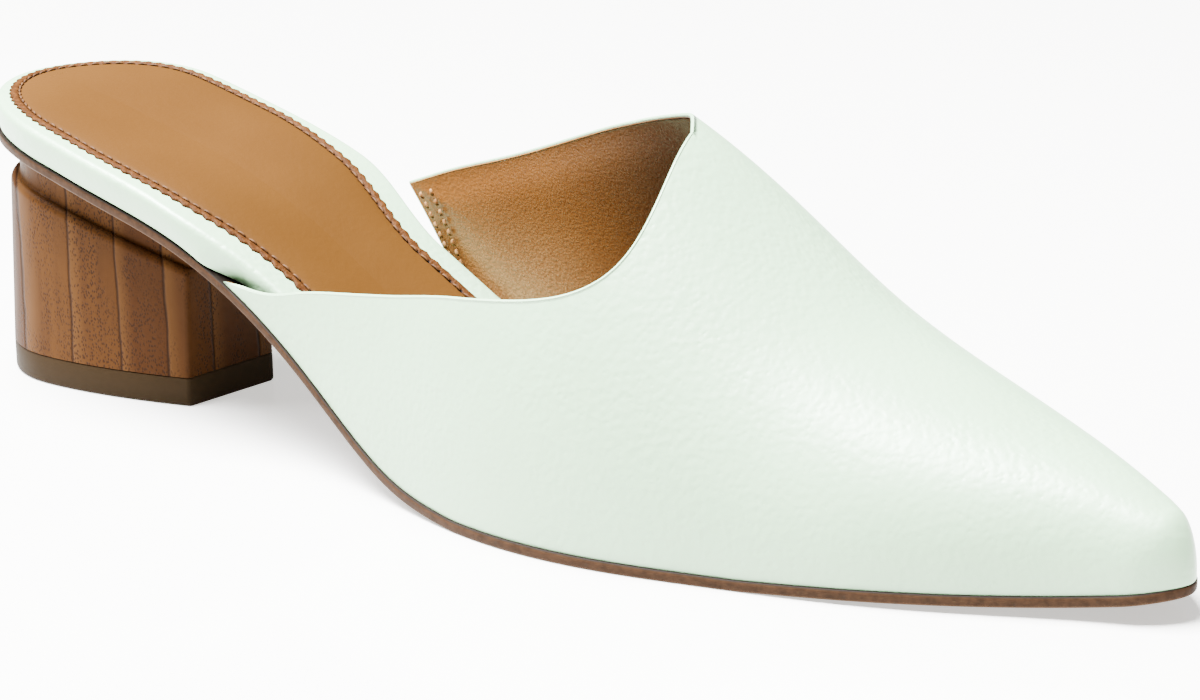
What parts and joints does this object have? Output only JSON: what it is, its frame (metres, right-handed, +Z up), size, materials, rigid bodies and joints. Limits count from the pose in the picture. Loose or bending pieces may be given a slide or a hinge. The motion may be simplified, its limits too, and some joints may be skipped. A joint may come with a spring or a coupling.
{
  "type": "mule shoe",
  "caption": "Right mule shoe with a closed pointed toe and open back, a wrapped footbed with a pinked sock, and a block heel of middle height.",
  "frame": {"origin": "middle of the top lift's worn face, on the floor", "axes": "+X from the heel to the toe, -Y towards the shoe's outer side, +Z up"},
  "size_m": [0.2682, 0.0772, 0.0684],
  "materials": {
    "rubber": "matte",
    "wood": "satin",
    "sole": "satin",
    "mint_leather": "satin",
    "tan_leather": "matte"
  },
  "bodies": {
    "root": {"top_lift": "rubber", "heel": "wood", "outsole": "sole", "footbed": "mint_leather", "sock": "tan_leather", "upper": "mint_leather"}
  },
  "joints": []
}
